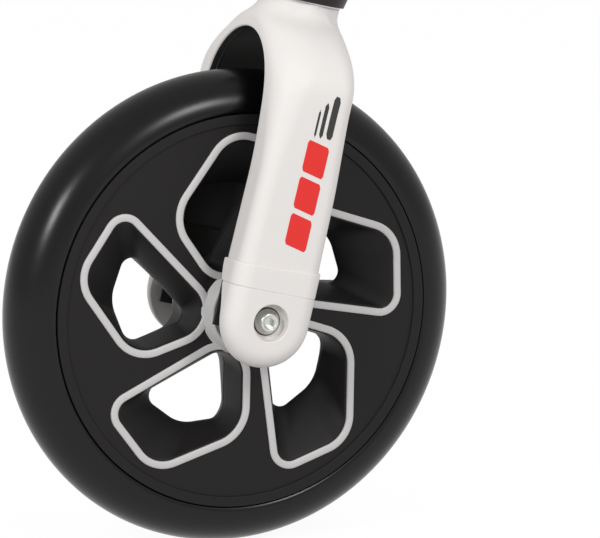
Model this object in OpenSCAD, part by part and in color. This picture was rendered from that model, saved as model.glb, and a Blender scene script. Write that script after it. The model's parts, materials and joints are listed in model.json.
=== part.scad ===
// Front wheel, fork and lower steering head of a child's balance bike.
// Fork pieces are drawn about the steering axis at the height of the axle, with X forward,
// Y to the left of the rider and Z up the steering axis.
// Wheel pieces are drawn about the axle with their own axis up, and h counts outwards from the mid plane.
// Everything is then placed so that the origin is the seat of the head cup and Z is vertical.

/* [Tyre] */
// Outside diameter of the tyre
tyre_d = 250; // [235:1:270]
// Width of the tyre
tyre_w = 41.2; // [39.6:0.2:46]
// Width of the tyre's foot between the rim flanges
foot_w = 30; // [26:0.5:31]
// Depth of the tyre's foot below the edge of the rim flanges
foot_depth = 9; // [7:0.5:10]

/* [Wheel halves] */
// Distance from the mid plane to the face of each half
face_h = 19.2; // [18.6:0.1:19.6]
// Thickness of the face plate
face_t = 3; // [2.4:0.1:3.4]
// Wall of the rim under the tyre
rim_wall = 3; // [2.5:0.1:4]
// Gap that shows between the tyre and the rim flange
rim_groove = 0.6; // [0.4:0.1:1]
// Width of the raised lip on the rim flange
lip_w = 5.6; // [3:0.1:6]
// Height of the lip above the face
lip_h = 1.2; // [0.4:0.1:1.6]
// Draft of the lip's inner side
lip_draft = 0.3; // [0:0.1:0.8]
// Wall of the funnels
funnel_wall = 2.2; // [1.6:0.1:2.6]
// Turn of the openings in the right face, so that they trail the left ones
right_turn = 6; // [0:0.5:7]
// Number of swirl openings
petals = 5; // [4:1:5]
// Wall round the hub bearings
sleeve_wall = 3.2; // [2.6:0.1:4]

/* [Swirl openings at the face] */
// Hub corner: distance from the axle
tip_r = 8.3; // [7:0.1:9]
// Heel corner: distance inside the rim wall
heel_in = 26.6; // [25:0.2:30]
// Crest corner: distance outside the rim wall, before it is rounded
crest_out = 3.8; // [2:0.1:4]
// Toe corner: distance inside the rim wall
toe_in = 2.1; // [2:0.1:4]

/* [Swirl openings at the mid plane] */
// Hub corner: distance from the axle
throat_tip_r = 18.7; // [18:0.1:20]
// Heel corner: distance inside the rim wall
throat_heel_in = 33.1; // [31:0.1:36]
// Crest and toe corners: distance inside the rim wall
throat_edge_in = 26.2; // [24:0.1:29]

/* [Trim] */
// Width of the grey bead round each opening
bead_w = 4.2; // [3.4:0.1:4.6]
// Height of the bead above the face
bead_t = 1.2; // [0.8:0.1:1.6]
// Radius of the hub collar where it meets the face
collar_r = 22; // [20:0.1:22.6]
// Height of the hub collar above the face
collar_h = 7.4; // [5:0.2:10]
// Taper of the hub collar on its radius
collar_taper = 1.9; // [0.4:0.1:2.4]
// Thickness of the collar's lip
collar_lip = 1.5; // [1.2:0.1:2.2]

/* [Hub bearings] */
// Outside diameter
brg_od = 28; // [26:0.5:29]
// Bore, which is also the axle's diameter
brg_id = 12; // [11.5:0.5:13]
// Width
brg_w = 8; // [7:0.5:9]
// Thickness of each ring
brg_ring = 2.6; // [2.3:0.1:2.7]
// Ball diameter
brg_ball = 4.7; // [4.4:0.1:4.9]
// Balls in each bearing
brg_balls = 8; // [6:1:9]
// Thickness of a bearing shield
shield_t = 0.5; // [0.4:0.1:0.7]
// Depth of a shield below the bearing's face
shield_set = 0.3; // [0.2:0.1:0.5]

/* [Axle bolts] */
// Thread diameter
bolt_d = 8; // [6:0.5:8]
// Length of thread inside the axle
thread_l = 22; // [16:1:26]
// Diameter of the button head
head_d = 14; // [12:0.5:15]
// Height of the button head
head_h = 4.4; // [3.6:0.1:5]
// Height of the straight edge of the button head
head_edge = 0.7; // [0.4:0.1:1]
// Width of the hexagon socket across its flats
socket_w = 5; // [4:0.5:6]
// Depth of the hexagon socket
socket_d = 2.6; // [2:0.1:3]
// Washer diameter
washer_d = 16.6; // [15.5:0.1:17]
// Washer thickness
washer_t = 1.5; // [1:0.1:2]
// Diameter of the axle spacers
spacer_d = 17; // [15.5:0.5:18]
// Diameter of the tube between the bearings
mid_spacer_d = 16.4; // [14.5:0.2:17]

/* [Half screws] */
// Distance from the axle
screw_r = 79; // [77:0.5:81]
// Turn of the first screw from the X axis
screw_turn = 196; // [194:1:198]
// Thread diameter
screw_d = 3.5; // [3:0.1:4]
// Head diameter
screw_head_d = 7; // [6:0.1:7.5]
// Head thickness
screw_head_t = 2.6; // [2:0.1:3]
// Depth of the head below the face
screw_sink = 5; // [4:0.5:7]
// Length of thread in the other half
screw_bite = 10; // [8:0.5:12]
// Wall of the screw posts
post_wall = 2.2; // [1.6:0.1:2.6]

/* [Fork] */
// Lean of the steering axis from the vertical
steer_tilt = 14; // [10:0.5:18]
// Distance of the axle ahead of the steering axis
rake = 2; // [0:0.5:4]
// Width between the legs
leg_gap = 74; // [72:1:80]
// Gap between the tyre and the arch
tyre_clear = 20.5; // [18:0.5:26]
// Half width over the legs
leg_out = 56.5; // [55:0.5:57]
// Half width over the shoulders
shoulder_out = 57.5; // [56.5:0.5:61]
// Height of the shoulders' widest place above the centre of the arch
shoulder_rise = 11; // [8:0.5:15]
// Fore and aft depth of the legs
leg_depth = 45.4; // [44:0.2:47]
// Rounding of the legs' corners
leg_round = 8; // [6:0.5:10]
// Height of the crown from the top of the arch to the top of the neck
crown_h = 18.5; // [17:0.5:24]
// How far the crown's front stands forward of the legs
crown_swell = 4.6; // [0:0.2:5]
// Diameter of the neck
neck_d = 42; // [40:0.5:44]
// Length of the straight neck
neck_len = 8; // [6:0.5:9]

/* [Fork liner] */
// Thickness of the liner
liner_t = 2; // [1.6:0.1:2.4]
// Fore and aft depth of the liner's rim
liner_depth = 39.6; // [38:0.2:40]
// How far the liner's sides reach below the height of the axle
liner_drop = 8; // [0:0.5:14]
// Depth of the liner's tray
tray_depth = 4.6; // [4:0.1:5]

/* [Fork strap] */
// Width of the steel strap
strap_w = 29; // [28:0.5:30]
// Thickness of the steel strap
strap_t = 4.5; // [4:0.1:4.8]

/* [Leg ends] */
// Fore and aft width of the caps and bands
cap_w = 48.6; // [46.5:0.2:50]
// Half width over the caps
cap_out = 57.5; // [57:0.5:59]
// Rounding of the caps' outer edges
cap_round = 9.5; // [6:0.5:10]
// Height of the caps above the axle
cap_h = 16; // [14:0.5:20]
// Height over which the leg ends' inner side is hollowed
relief_h = 32; // [28:0.5:36]
// Height of the bands
band_h = 13.5; // [10:0.5:16]
// Diameter of the counterbore for the bolt head
counterbore_d = 20.4; // [17.2:0.2:22]
// Floor of the counterbore
floor_t = 3; // [2:0.1:3.4]

/* [Steering head] */
// Diameter of the steerer tube
steerer_d = 28.6; // [27:0.2:29.4]
// Diameter of the steerer's thicker foot
steerer_foot_d = 30; // [29.6:0.2:30.6]
// Wall of the steerer tube
steerer_wall = 2.5; // [2:0.1:3]
// Free length of the steerer above the spigot
steerer_free = 101; // [60:1:160]
// Thickness of the crown race
race_t = 2.5; // [2:0.1:3.5]
// Height of the crown race's pilot
pilot_h = 6; // [4:0.5:6.5]
// Wall of the crown race's pilot
pilot_wall = 1.6; // [1.4:0.1:1.8]
// Outside diameter of the head bearing
head_brg_od = 43.6; // [43:0.2:44]
// Width of the head bearing
head_brg_w = 7; // [6.5:0.5:8]
// Thickness of each ring of the head bearing
head_brg_ring = 1.6; // [1.4:0.1:1.7]
// Ball diameter in the head bearing
head_ball = 3; // [2.8:0.1:3.2]
// Balls in the head bearing
head_balls = 22; // [16:1:26]
// Wall of the cup's lower rim
cup_rim = 1.1; // [0.9:0.1:1.6]
// Height of the cup from its rim to its seat
cup_h = 31.2; // [28:0.2:36]
// Radius at the top of the cup
cup_top_r = 26.6; // [25.8:0.1:28]
// Height of the cup's flare
flare_h = 11.2; // [9:0.2:14]
// Radius at the top of the flare
flare_r = 25.6; // [25:0.1:26.5]
// Diameter of the spigot that goes into the head tube
spigot_d = 34; // [33.6:0.1:36]
// Length of the spigot
spigot_l = 12; // [8:0.5:16]

/* [Fits] */
// Gap round parts that slide together once
slip = 0.2; // [0.1:0.05:0.3]
// Gap of a tight seat
seat = 0.02; // [0.01:0.01:0.04]
// Running gap of turning parts
run = 0.05; // [0.03:0.01:0.08]
// Gap between the turning fork and the head cup
head_gap = 0.8; // [0.5:0.1:1.2]

/* [Hidden] */
$fn = 96;

white = "#E9E6E4";
black = "#2A2829";
grey = "#B4B0AD";
steel = "#A9ACB0";

// Cuts run this far past the faces that they open
over = 1;

// Wheel radii, from the tyre inwards
ring_r = (tyre_d - tyre_w) / 2;
flange_r = ring_r - rim_groove;
foot_r = flange_r - foot_depth;
rim_in = foot_r - rim_wall;

// Hub bearing
brg_top = face_h - slip;
brg_low = brg_top - brg_w;
brg_pitch = (brg_od + brg_id) / 4;
sleeve_r = brg_od / 2 + sleeve_wall;
race_in_r = brg_id / 2 + brg_ring;
race_out_r = brg_od / 2 - brg_ring;

// Swirl openings: corners as distance, angle and rounding, in turning order
tip_turn = 102.5;
heel_turn = 124.2;
crest_turn = 157.8;
toe_turn = 185.4;
throat_tip_turn = 125;
throat_heel_turn = 126.8;
throat_crest_turn = 150.3;
throat_toe_turn = 176.9;
bead_corners = [
    polar(tip_r, tip_turn), polar(rim_in - heel_in, heel_turn),
    polar(rim_in + crest_out, crest_turn), polar(rim_in - toe_in, toe_turn)];
bead_radii = [16.5, 20, 18, 9.5];
throat_corners = [
    polar(throat_tip_r, throat_tip_turn), polar(rim_in - throat_heel_in, throat_heel_turn),
    polar(rim_in - throat_edge_in, throat_crest_turn), polar(rim_in - throat_edge_in, throat_toe_turn)];
throat_radii = [5.4, 8, 20, 6];
corner_steps = 7;
relief_steps = 12;
// The swelling starts this far below the centre of the arch, grows over this height and ends at the neck
swell_low = 36.5;
swell_h = 75;
swell_end = 6;
swell_soft = 2.6;
// The hollow in the leg ends starts this far below the top of the bands
relief_low = 2.5;
funnel_steps = 4;
// Above 1 the funnels start steep at the mid plane and open out at the face
funnel_flare = 1.25;

// Stack across a leg, from the mid plane outwards
slot_r = leg_gap / 2;
tray_r = slot_r + tray_depth;
strap_in = tray_r + slip;
strap_out = strap_in + strap_t;
pocket_r = strap_out + slip;
pocket_w = strap_w + 2 * slip;
washer_y = pocket_r + floor_t;
// The liner's rim lies between the crown's middle and that of the legs
liner_shift = rake / 2;
head_y = washer_y + washer_t;

// Heights up the steering axis, from the axle
arch_s = tyre_d / 2 + tyre_clear - slot_r;
shell_low = cap_h + band_h;
shoulder_s = arch_s + shoulder_rise;
neck_top = arch_s + slot_r + crown_h;
neck_base = neck_top - neck_len;
cup_low = neck_top + head_gap;
mount_s = cup_low + cup_h;
spigot_top = mount_s + spigot_l;
steerer_step = spigot_top + over;
steerer_top = steerer_step + steerer_free;

// Head bearing
pilot_r = steerer_foot_d / 2 + seat + pilot_wall;
head_brg_low = neck_top + race_t;
head_brg_in = pilot_r + seat;
head_pitch = (head_brg_od / 2 + head_brg_in) / 2;
cup_seat_r = head_brg_od / 2 + seat;
cup_step_r = head_brg_od / 2 - head_brg_ring;

// Loft of the fork shell
round_steps = 10;
leg_steps = 3;
shoulder_steps = 12;
// Fall of the shoulders towards the neck: lower is squarer along the top
shoulder_fall = 0.85;
// Above 1 the corners of the shoulders stay tight until near the neck
corner_fall = 1.6;

function polar(r, turn) = r * [cos(turn), sin(turn)];
function mix(a, b, t) = a + (b - a) * t;
function clamp01(t) = min(1, max(0, t));
function smooth(t) = let (c = clamp01(t)) c * c * (3 - 2 * c);
function unit(v) = v / norm(v);

// Inward direction and half angle of corner i of a polygon
function corner_dir(p, i) =
    let (n = len(p)) unit(unit(p[(i + n - 1) % n] - p[i]) + unit(p[(i + 1) % n] - p[i]));
function corner_half(p, i) =
    let (n = len(p)) acos(unit(p[(i + n - 1) % n] - p[i]) * unit(p[(i + 1) % n] - p[i])) / 2;

// Polygon with rounded corners, grown outwards by grow with the same corner centres
function outline(p, radii, grow = 0) = [
    for (i = [0:len(p) - 1])
        let (dir = corner_dir(p, i), half = corner_half(p, i),
             centre = p[i] + dir * radii[i] / sin(half),
             middle = atan2(dir.y, dir.x) + 180, sweep = 90 - half)
            for (k = [0:corner_steps])
                centre + polar(radii[i] + grow, middle + sweep * (2 * k / corner_steps - 1))];

// Corners and radii of the opening inside the bead
function opening_corners() = [
    for (i = [0:len(bead_corners) - 1])
        bead_corners[i] + corner_dir(bead_corners, i) * bead_w / 2 / sin(corner_half(bead_corners, i))];
function opening_radii() = [for (r = bead_radii) r - bead_w / 2];

// Outline of a funnel at height h above the mid plane, with its face opening turned
function turned(p, turn) = [p.x * cos(turn) - p.y * sin(turn), p.x * sin(turn) + p.y * cos(turn)];
function funnel_ring(h, grow, turn) =
    let (t = pow(max(0, h) / face_h, funnel_flare))
        [for (q = outline([for (i = [0:3]) mix(throat_corners[i], turned(opening_corners()[i], turn), t)],
                          [for (i = [0:3]) mix(throat_radii[i], opening_radii()[i], t)], grow))
            [q.x, q.y, h]];

// Half width, half depth and corner rounding of the fork shell at height s
function shell_rise(s) = clamp01((s - shell_low) / (neck_base - shell_low));
function shoulder_drop(s) = clamp01((s - shoulder_s) / (neck_base - shoulder_s));
function shell_y(s) = s < shoulder_s
    ? mix(leg_out, shoulder_out, smooth((s - shell_low) / (shoulder_s - shell_low)))
    : mix(neck_d / 2, shoulder_out, pow(1 - pow(shoulder_drop(s), 2), shoulder_fall));
function shell_x(s) = mix(leg_depth, neck_d, shell_rise(s)) / 2;
function shell_round(s) = mix(leg_round, neck_d / 2, pow(shoulder_drop(s), corner_fall));
// The legs are centred on the axle, and the neck on the steering axis
function shell_shift(s) = rake * (1 - smooth((s - arch_s) / (neck_base - arch_s)));
// The crown's front swells up to the neck, and its corners get rounder with it
function shell_swell(s) = crown_swell * smooth((s - arch_s + swell_low) / swell_h)
    * (1 - smooth((s - neck_base + swell_end) / (swell_end + neck_len)));
function shell_ring(s) = [
    for (side = [[1, 1], [-1, 1], [-1, -1], [1, -1]], k = [0:round_steps])
        let (extra = side.x > 0 ? shell_swell(s) : 0, depth = shell_x(s) + extra,
             r = min(shell_round(s) + swell_soft * extra, shell_y(s), depth),
             quarter = side.x * side.y > 0 ? k : round_steps - k,
             p = polar(r, 90 * quarter / round_steps))
            [shell_shift(s) + side.x * (depth - r + p.x), side.y * (shell_y(s) - r + p.y), s]];

// Solid through a list of rings that all have as many points
module loft(rings) {
    n = len(rings[0]);
    last = (len(rings) - 1) * n;
    sides = [
        for (i = [0:len(rings) - 2], j = [0:n - 1])
            let (a = i * n + j, b = i * n + (j + 1) % n)
                each [[a, a + n, b + n], [a, b + n, b]]];
    polyhedron(
        points = [for (ring = rings) each ring],
        faces = concat([[for (j = [0:n - 1]) j]], sides, [[for (j = [n - 1:-1:0]) last + j]]));
}

module on_fork() rotate([0, -steer_tilt, 0]) translate([0, 0, -mount_s]) children();
module on_axle() translate(mount_s * [sin(steer_tilt), 0, -cos(steer_tilt)]
    + rake * [cos(steer_tilt), 0, sin(steer_tilt)]) children();

// Pieces drawn with h up, turned so that h points to the right or to the left
module right_side() rotate([90, 0, 0]) children();
module left_side() mirror([0, 1, 0]) right_side() children();
module both_sides() {
    right_side() children();
    left_side() children();
}
module round_wheel(count) for (k = [0:count - 1]) rotate(k * 360 / count) children();

// Ring with a square section, from h = low up
module ring(r_in, r_out, low, h) {
    translate([0, 0, low]) difference() {
        cylinder(r = r_out, h = h);
        translate([0, 0, -over]) cylinder(r = r_in, h = h + 2 * over);
    }
}

// Bearing ring with a ball groove
module grooved_ring(r_in, r_out, low, h, pitch, ball) {
    difference() {
        ring(r_in, r_out, low, h);
        translate([0, 0, low + h / 2]) rotate_extrude() translate([pitch, 0]) circle(d = ball + 2 * run);
    }
}

module balls(count, pitch, ball, mid) {
    round_wheel(count) translate([pitch, 0, mid]) sphere(d = ball);
}

// Wheel

module tyre() {
    color(black) on_axle() right_side() rotate_extrude() difference() {
        translate([ring_r, 0]) circle(d = tyre_w);
        translate([0, -tyre_w]) square([foot_r, 2 * tyre_w]);
        for (m = [0, 1]) mirror([0, m]) translate([0, foot_w / 2]) square([ring_r, tyre_w]);
    }
}

module half_profile() {
    flange_h = foot_w / 2 + slip;
    plate_h = face_h - face_t;
    seat_r = brg_od / 2 + seat;
    step_r = race_out_r;
    polygon([
        [step_r, 0], [step_r, brg_low], [seat_r, brg_low], [seat_r, face_h],
        [flange_r - lip_w, face_h], [flange_r - lip_w + lip_draft, face_h + lip_h],
        [flange_r, face_h + lip_h], [flange_r, flange_h],
        [foot_r, flange_h], [foot_r, 0], [rim_in, 0], [rim_in, plate_h], [sleeve_r, plate_h], [sleeve_r, 0]]);
}

module funnel(grow, low, high, turn) {
    loft([for (i = [0:funnel_steps]) funnel_ring(mix(low, high, i / funnel_steps), grow, turn)]);
}

module at_screws() rotate(screw_turn) round_wheel(petals) translate([screw_r, 0, 0]) children();

module screw_post() cylinder(d = screw_head_d + 2 * (slip + post_wall), h = face_h - face_t / 2);

module wheel_half(turn) {
    difference() {
        union() {
            rotate_extrude() half_profile();
            round_wheel(petals) funnel(funnel_wall, 0, face_h - face_t / 2, turn);
            at_screws() screw_post();
        }
        round_wheel(petals) funnel(0, -over, face_h + over, turn);
        children();
    }
}

module wheel_half_left() {
    color(black) on_axle() left_side() wheel_half(0)
        at_screws() translate([0, 0, -over]) cylinder(d = screw_d + 2 * seat, h = screw_bite + 2 * over);
}

module wheel_half_right() {
    color(black) on_axle() right_side() wheel_half(-right_turn)
        at_screws() {
            translate([0, 0, -over]) cylinder(d = screw_d + 2 * slip, h = face_h);
            translate([0, 0, face_h - screw_sink - screw_head_t])
                cylinder(d = screw_head_d + 2 * slip, h = screw_sink + screw_head_t + over);
        }
}

module half_screws() {
    head_low = face_h - screw_sink - screw_head_t;
    color(steel) on_axle() right_side() at_screws() {
        translate([0, 0, head_low]) cylinder(d = screw_head_d, h = screw_head_t);
        translate([0, 0, -screw_bite]) cylinder(d = screw_d, h = screw_bite + head_low + screw_head_t / 2);
    }
}

module trim(turn) {
    translate([0, 0, face_h]) linear_extrude(bead_t) rotate(turn) round_wheel(petals) difference() {
        polygon(outline(bead_corners, bead_radii, bead_w / 2));
        polygon(outline(bead_corners, bead_radii, -bead_w / 2));
    }
    lip_r = collar_r - collar_taper;
    mouth_r = brg_od / 2 + slip;
    rotate_extrude() polygon([
        [mouth_r, face_h], [collar_r, face_h], [lip_r, face_h + collar_h],
        [lip_r - collar_lip, face_h + collar_h], [mouth_r, face_h + 2 * bead_t]]);
}

module trim_left() color(grey) on_axle() left_side() trim(0);
module trim_right() color(grey) on_axle() right_side() trim(-right_turn);

module hub_bearing_outers() {
    color(steel) on_axle() both_sides()
        grooved_ring(race_out_r, brg_od / 2, brg_low, brg_w, brg_pitch, brg_ball);
}

module hub_bearing_inners() {
    color(steel) on_axle() both_sides()
        grooved_ring(brg_id / 2 + seat, race_in_r, brg_low, brg_w, brg_pitch, brg_ball);
}

module hub_bearing_balls() {
    color(steel) on_axle() both_sides() balls(brg_balls, brg_pitch, brg_ball, brg_low + brg_w / 2);
}

module hub_bearing_shields() {
    color(black) on_axle() both_sides()
        for (low = [brg_low + shield_set, brg_top - shield_set - shield_t])
            ring(race_in_r + run, race_out_r, low, shield_t);
}

// Axle

module axle_sleeve() {
    color(steel) on_axle() difference() {
        right_side() translate([0, 0, -strap_in]) cylinder(d = brg_id, h = 2 * strap_in);
        both_sides() translate([0, 0, strap_in - thread_l - over])
            cylinder(d = bolt_d + 2 * seat, h = thread_l + 2 * over);
    }
}

module axle_spacers() {
    color(steel) on_axle() both_sides() ring(brg_id / 2 + seat, spacer_d / 2, brg_top, strap_in - brg_top);
}

module axle_mid_spacer() {
    color(steel) on_axle() right_side() ring(brg_id / 2 + seat, mid_spacer_d / 2, -brg_low, 2 * brg_low);
}

module axle_bolt() {
    rise = head_h - head_edge;
    dome_r = (pow(head_d / 2, 2) + rise * rise) / (2 * rise);
    translate([0, 0, strap_in - thread_l]) cylinder(d = bolt_d, h = thread_l + head_y - strap_in);
    translate([0, 0, head_y]) difference() {
        rotate_extrude() intersection() {
            square([head_d / 2, head_h]);
            translate([0, head_h - dome_r]) circle(dome_r);
        }
        translate([0, 0, head_h - socket_d])
            cylinder(d = socket_w / cos(30), h = socket_d + over, $fn = 6);
    }
}

module axle_bolt_left() color(steel) on_axle() left_side() axle_bolt();
module axle_bolt_right() color(steel) on_axle() right_side() axle_bolt();

module bolt_washers() {
    color(steel) on_axle() both_sides() ring(bolt_d / 2 + slip, washer_d / 2, washer_y, washer_t);
}

// Fork

// Outline of the space under the arch, seen from the front
module arch(r, low) {
    translate([0, arch_s]) circle(r);
    translate([-r, low]) square([2 * r, arch_s - low]);
}

// Arch outline run fore and aft
module arch_block(r, low, depth) {
    rotate([90, 0, 90]) linear_extrude(depth, center = true) arch(r, low);
}

module arch_band(r_in, r_out, low, depth) {
    difference() {
        arch_block(r_out, low, depth);
        arch_block(r_in, low - over, depth + 2 * over);
    }
}

module fork_shell() {
    heights = concat(
        [for (i = [0:leg_steps - 1]) mix(shell_low, shoulder_s, i / leg_steps)],
        [for (i = [0:shoulder_steps]) mix(shoulder_s, neck_base, i / shoulder_steps)],
        [neck_top]);
    color(white) on_fork() difference() {
        loft([for (s = heights) shell_ring(s)]);
        arch_block(slot_r, 0, 2 * leg_depth);
        arch_block(pocket_r, 0, pocket_w);
        translate([0, 0, arch_s]) cylinder(d = steerer_foot_d + 2 * slip, h = neck_top);
    }
}

module fork_liner() {
    inner_r = slot_r - liner_t;
    low = shell_low;
    tray_w = strap_w;
    color(black) on_fork() difference() {
        union() {
            translate([liner_shift, 0, 0]) arch_band(inner_r, slot_r, -liner_drop, liner_depth);
            arch_band(inner_r, tray_r, low, tray_w);
        }
        arch_band(inner_r - over, tray_r - liner_t, low + liner_t, tray_w - 2 * liner_t);
        translate([rake, 0, 0]) right_side() translate([0, 0, -slot_r - over])
            cylinder(d = spacer_d + 2 * slip, h = 2 * (slot_r + over));
    }
}

module fork_strap() {
    color(black) on_fork() difference() {
        intersection() {
            arch_band(strap_in, strap_out, -strap_w / 2, strap_w);
            union() {
                translate([-strap_w, -leg_gap, 0]) cube([2 * strap_w, 2 * leg_gap, 2 * arch_s]);
                right_side() translate([0, 0, -leg_gap]) cylinder(d = strap_w, h = 2 * leg_gap);
            }
        }
        translate([rake, 0, 0]) right_side() translate([0, 0, -leg_gap])
            cylinder(d = bolt_d + 2 * slip, h = 2 * leg_gap);
    }
}

// Section of a leg end, with its outer edges rounded
module leg_section() {
    half = cap_w / 2;
    difference() {
        translate([-half, slot_r]) square([cap_w, cap_out - slot_r]);
        for (m = [0, 1]) mirror([m, 0]) translate([half - cap_round, cap_out - cap_round]) difference() {
            square(cap_round + over);
            circle(cap_round);
        }
    }
}

// Space for the strap inside a leg end, from height low to high
module strap_space(low, high) {
    translate([-rake - pocket_w / 2, strap_in - slip, low])
        cube([pocket_w, pocket_r - strap_in + slip, high - low]);
}

// Space on the inner side of a leg end, which deepens from the band to the round end
module end_hollow() {
    top = shell_low - relief_low;
    curve = [for (i = [0:relief_steps]) [
        slot_r + (pocket_r - slot_r) * smooth(i / relief_steps), top - relief_h * i / relief_steps]];
    rotate([90, 0, 90]) linear_extrude(2 * cap_w, center = true)
        polygon(concat(curve, [[pocket_r, -cap_w], [slot_r - over, -cap_w], [slot_r - over, top]]));
}

module leg_band() {
    difference() {
        translate([0, 0, cap_h]) linear_extrude(band_h) leg_section();
        end_hollow();
        strap_space(0, shell_low + over);
    }
}

module leg_cap() {
    difference() {
        union() {
            linear_extrude(cap_h) leg_section();
            intersection() {
                rotate([-90, 0, 0]) rotate_extrude() intersection() {
                    leg_section();
                    square(2 * cap_out);
                }
                translate([-cap_w, 0, -cap_w]) cube([2 * cap_w, 2 * cap_out, cap_w]);
            }
        }
        end_hollow();
        strap_space(0, cap_h + over);
        translate([-rake, 0, 0]) left_side() translate([0, 0, strap_in - slip])
            cylinder(d = pocket_w, h = pocket_r - strap_in + slip);
        left_side() {
            cylinder(d = spacer_d + 2 * slip, h = strap_in);
            cylinder(d = bolt_d + 2 * slip, h = cap_out);
            translate([0, 0, washer_y]) cylinder(d = counterbore_d, h = cap_out);
        }
    }
}

module on_leg_end() on_fork() translate([rake, 0, 0]) children();
module leg_band_left() color(white) on_leg_end() leg_band();
module leg_band_right() color(white) on_leg_end() mirror([0, 1, 0]) leg_band();
module leg_cap_left() color(white) on_leg_end() leg_cap();
module leg_cap_right() color(white) on_leg_end() mirror([0, 1, 0]) leg_cap();

module steerer() {
    color(steel) on_fork() difference() {
        union() {
            translate([0, 0, arch_s]) cylinder(d = steerer_foot_d, h = steerer_step - arch_s);
            translate([0, 0, arch_s]) cylinder(d = steerer_d, h = steerer_top - arch_s);
        }
        cylinder(d = steerer_d - 2 * steerer_wall, h = steerer_top + over);
        arch_block(strap_out, 0, 2 * strap_w);
    }
}

// Steering head

module crown_race() {
    bore_r = steerer_foot_d / 2 + seat;
    color(steel) on_fork() {
        ring(bore_r, head_brg_od / 2 - head_gap / 2, neck_top, race_t - head_gap / 2);
        ring(bore_r, head_brg_in + head_brg_ring, neck_top, race_t);
        ring(bore_r, pilot_r, neck_top, race_t + pilot_h);
    }
}

module head_bearing_inner() {
    color(steel) on_fork() grooved_ring(
        head_brg_in, head_brg_in + head_brg_ring, head_brg_low, head_brg_w, head_pitch, head_ball);
}

module head_bearing_outer() {
    color(steel) on_fork() grooved_ring(
        head_brg_od / 2 - head_brg_ring, head_brg_od / 2, head_brg_low, head_brg_w, head_pitch, head_ball);
}

module head_bearing_balls() {
    color(steel) on_fork() balls(head_balls, head_pitch, head_ball, head_brg_low + head_brg_w / 2);
}

module head_cup() {
    step_s = head_brg_low + head_brg_w;
    bore_s = step_s + race_t;
    bore_r = steerer_foot_d / 2 + run;
    color(black) on_fork() rotate_extrude() polygon([
        [cup_seat_r, cup_low], [cup_seat_r + cup_rim, cup_low], [flare_r, cup_low + flare_h],
        [cup_top_r, mount_s], [spigot_d / 2, mount_s], [spigot_d / 2, spigot_top], [bore_r, spigot_top],
        [bore_r, bore_s], [cup_step_r, bore_s], [cup_step_r, step_s], [cup_seat_r, step_s]]);
}

head_cup();
head_bearing_outer();
head_bearing_balls();
crown_race();
head_bearing_inner();
steerer();
fork_strap();
fork_shell();
fork_liner();
leg_band_left();
leg_band_right();
leg_cap_left();
leg_cap_right();
axle_sleeve();
axle_bolt_left();
axle_bolt_right();
bolt_washers();
axle_spacers();
axle_mid_spacer();
hub_bearing_inners();
tyre();
wheel_half_left();
wheel_half_right();
trim_left();
trim_right();
hub_bearing_outers();
hub_bearing_balls();
hub_bearing_shields();
half_screws();
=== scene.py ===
"""Dressed model of the front wheel and fork of a child's balance bike.

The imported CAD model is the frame. Pieces whose shape carries the look are rebuilt here as smooth meshes in
the same places, and every other CAD node gets a finish. Sizes are in millimetres until a point is placed.
"""

from __future__ import annotations

import json
import logging
import math
from dataclasses import dataclass, field
from enum import Enum
from typing import Callable, Sequence

import bmesh
import bpy
from bmesh.types import BMEdge, BMFace, BMVert
from mathutils import Matrix, Vector

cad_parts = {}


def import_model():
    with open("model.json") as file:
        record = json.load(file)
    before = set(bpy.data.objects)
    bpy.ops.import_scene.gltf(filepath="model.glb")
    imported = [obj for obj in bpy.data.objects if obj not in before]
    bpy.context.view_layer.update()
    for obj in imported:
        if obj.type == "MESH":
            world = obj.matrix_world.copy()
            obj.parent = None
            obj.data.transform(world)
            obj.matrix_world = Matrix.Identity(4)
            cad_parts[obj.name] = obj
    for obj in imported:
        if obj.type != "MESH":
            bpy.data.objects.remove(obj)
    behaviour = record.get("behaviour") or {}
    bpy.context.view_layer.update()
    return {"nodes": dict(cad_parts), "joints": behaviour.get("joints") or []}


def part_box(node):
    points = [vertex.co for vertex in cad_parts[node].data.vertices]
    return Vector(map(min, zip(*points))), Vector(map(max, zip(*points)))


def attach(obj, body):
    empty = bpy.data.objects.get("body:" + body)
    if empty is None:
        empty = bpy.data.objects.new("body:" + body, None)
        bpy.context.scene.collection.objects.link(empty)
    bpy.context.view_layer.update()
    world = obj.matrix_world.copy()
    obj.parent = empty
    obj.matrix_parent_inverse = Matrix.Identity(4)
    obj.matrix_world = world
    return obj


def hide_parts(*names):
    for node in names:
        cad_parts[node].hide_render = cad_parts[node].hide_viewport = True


LOG = logging.getLogger("scene")
MM = 0.001
IMAGE_WIDTH = 600
IMAGE_HEIGHT = 538
UP = Vector((0.0, 0.0, 1.0))

Point = tuple[float, float]
Spot = tuple[float, float, float]
Placer = Callable[[float, float, float], Vector]


class Side(Enum):
    """Side of the bike, with the sign of its Y axis."""

    LEFT = 1
    RIGHT = -1

    @property
    def word(self) -> str:
        """Name of the side as the CAD nodes write it."""
        return self.name.lower()

    @property
    def out(self) -> Vector:
        """Direction outwards on this side."""
        return Vector((0.0, self.value, 0.0))


def mix(first: float, last: float, share: float) -> float:
    """Value at some share of the way from the first to the last."""
    return first + (last - first) * share


def clamp(share: float) -> float:
    """Share held between 0 and 1."""
    return min(1.0, max(0.0, share))


def smooth_step(share: float) -> float:
    """Share eased from 0 to 1, with flat ends."""
    held = clamp(share)
    return held * held * (3.0 - 2.0 * held)


def quarter(steps: int) -> list[Point]:
    """Quarter round of radius 1, as two falls that run from 0 to 1 and from 1 to 0."""
    turns = [math.pi / 2.0 * k / steps for k in range(steps + 1)]
    return [(1.0 - math.cos(a), 1.0 - math.sin(a)) for a in turns]


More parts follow.
